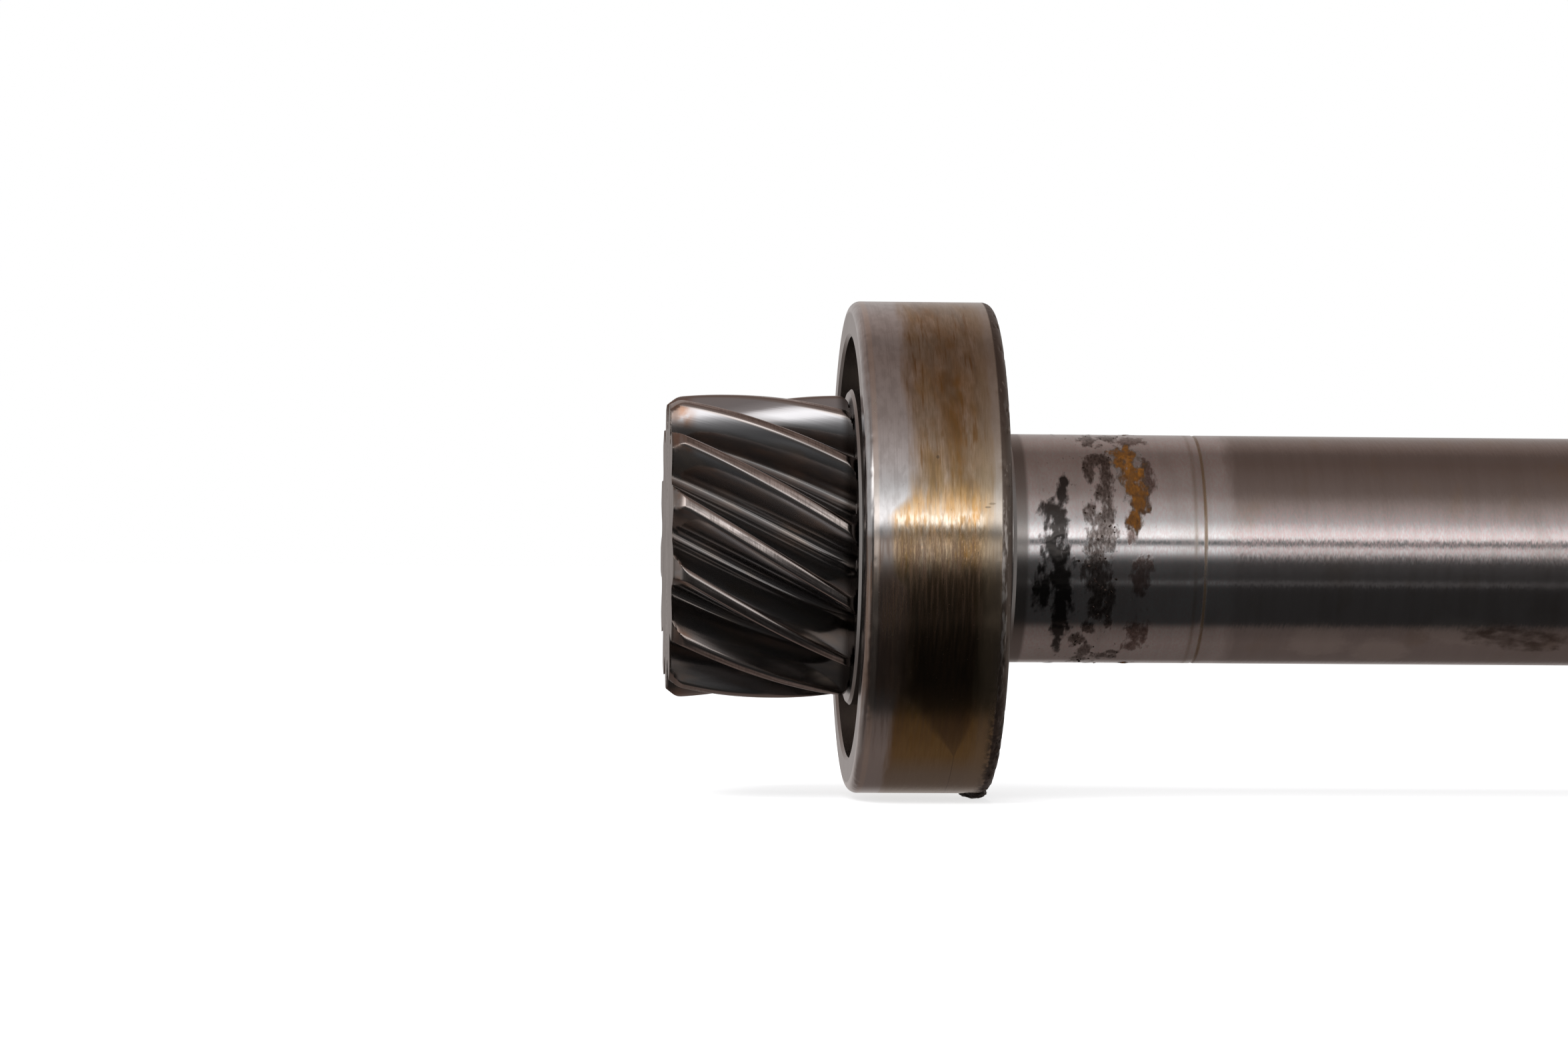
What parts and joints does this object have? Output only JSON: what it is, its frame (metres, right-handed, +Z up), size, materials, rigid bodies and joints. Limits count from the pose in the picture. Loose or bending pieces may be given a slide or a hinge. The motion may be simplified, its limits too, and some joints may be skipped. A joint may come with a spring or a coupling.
{
  "type": "transmission shaft",
  "caption": "Ground steel pinion shaft with a right-hand helical pinion on its end and a deep-groove ball bearing pressed on behind it.",
  "frame": {"origin": "centre of the ball bearing, on the shaft's axis", "axes": "+X along the shaft from the pinion towards the plain end, +Z up, and the picture looks along +Y"},
  "size_m": [0.13, 0.052, 0.052],
  "materials": {
    "shaft_steel": "ground and polished hardened steel, with brown varnish, rust and black grime behind the bearing",
    "ring_steel": "ground bearing steel, with golden-brown oil varnish and dark stains",
    "ball_steel": "lapped bearing steel, oily",
    "cage_steel": "pressed mild steel, oily",
    "rivet_steel": "headed mild steel, oily"
  },
  "bodies": {
    "outer_ring": {"bearing_outer_ring": "ring_steel"},
    "shaft": {"pinion_shaft": "shaft_steel", "bearing_inner_ring": "ring_steel"},
    "cage": {"cage_half_left": "cage_steel", "cage_half_right": "cage_steel", "cage_rivet_1": "rivet_steel", "cage_rivet_2": "rivet_steel", "cage_rivet_3": "rivet_steel", "cage_rivet_4": "rivet_steel", "cage_rivet_5": "rivet_steel", "cage_rivet_6": "rivet_steel", "cage_rivet_7": "rivet_steel", "cage_rivet_8": "rivet_steel", "cage_rivet_9": "rivet_steel"},
    "ball_1": {"ball_1": "ball_steel"},
    "ball_2": {"ball_2": "ball_steel"},
    "ball_3": {"ball_3": "ball_steel"},
    "ball_4": {"ball_4": "ball_steel"},
    "ball_5": {"ball_5": "ball_steel"},
    "ball_6": {"ball_6": "ball_steel"},
    "ball_7": {"ball_7": "ball_steel"},
    "ball_8": {"ball_8": "ball_steel"},
    "ball_9": {"ball_9": "ball_steel"}
  },
  "joints": [
    {"name": "shaft_spin", "type": "hinge", "parent": "outer_ring", "child": "shaft", "pos_m": [0, 0, 0], "axis": [1, 0, 0], "continuous": true},
    {"name": "cage_spin", "type": "hinge", "parent": "outer_ring", "child": "cage", "pos_m": [0, 0, 0], "axis": [1, 0, 0], "continuous": true},
    {"name": "ball_1_roll", "type": "hinge", "parent": "cage", "child": "ball_1", "pos_m": [0, 0.0195, 0], "axis": [1, 0, 0], "continuous": true},
    {"name": "ball_2_roll", "type": "hinge", "parent": "cage", "child": "ball_2", "pos_m": [0, 0.01494, 0.01253], "axis": [1, 0, 0], "continuous": true},
    {"name": "ball_3_roll", "type": "hinge", "parent": "cage", "child": "ball_3", "pos_m": [0, 0.00339, 0.0192], "axis": [1, 0, 0], "continuous": true},
    {"name": "ball_4_roll", "type": "hinge", "parent": "cage", "child": "ball_4", "pos_m": [0, -0.00975, 0.01689], "axis": [1, 0, 0], "continuous": true},
    {"name": "ball_5_roll", "type": "hinge", "parent": "cage", "child": "ball_5", "pos_m": [0, -0.01832, 0.00667], "axis": [1, 0, 0], "continuous": true},
    {"name": "ball_6_roll", "type": "hinge", "parent": "cage", "child": "ball_6", "pos_m": [0, -0.01832, -0.00667], "axis": [1, 0, 0], "continuous": true},
    {"name": "ball_7_roll", "type": "hinge", "parent": "cage", "child": "ball_7", "pos_m": [0, -0.00975, -0.01689], "axis": [1, 0, 0], "continuous": true},
    {"name": "ball_8_roll", "type": "hinge", "parent": "cage", "child": "ball_8", "pos_m": [0, 0.00339, -0.0192], "axis": [1, 0, 0], "continuous": true},
    {"name": "ball_9_roll", "type": "hinge", "parent": "cage", "child": "ball_9", "pos_m": [0, 0.01494, -0.01253], "axis": [1, 0, 0], "continuous": true}
  ],
  "couplings": [
    {"joint": "cage_spin", "follows": "shaft_spin", "ratio": 0.39823},
    {"joint": "ball_1_roll", "follows": "shaft_spin", "ratio": -2.3548},
    {"joint": "ball_2_roll", "follows": "shaft_spin", "ratio": -2.3548},
    {"joint": "ball_3_roll", "follows": "shaft_spin", "ratio": -2.3548},
    {"joint": "ball_4_roll", "follows": "shaft_spin", "ratio": -2.3548},
    {"joint": "ball_5_roll", "follows": "shaft_spin", "ratio": -2.3548},
    {"joint": "ball_6_roll", "follows": "shaft_spin", "ratio": -2.3548},
    {"joint": "ball_7_roll", "follows": "shaft_spin", "ratio": -2.3548},
    {"joint": "ball_8_roll", "follows": "shaft_spin", "ratio": -2.3548},
    {"joint": "ball_9_roll", "follows": "shaft_spin", "ratio": -2.3548}
  ]
}
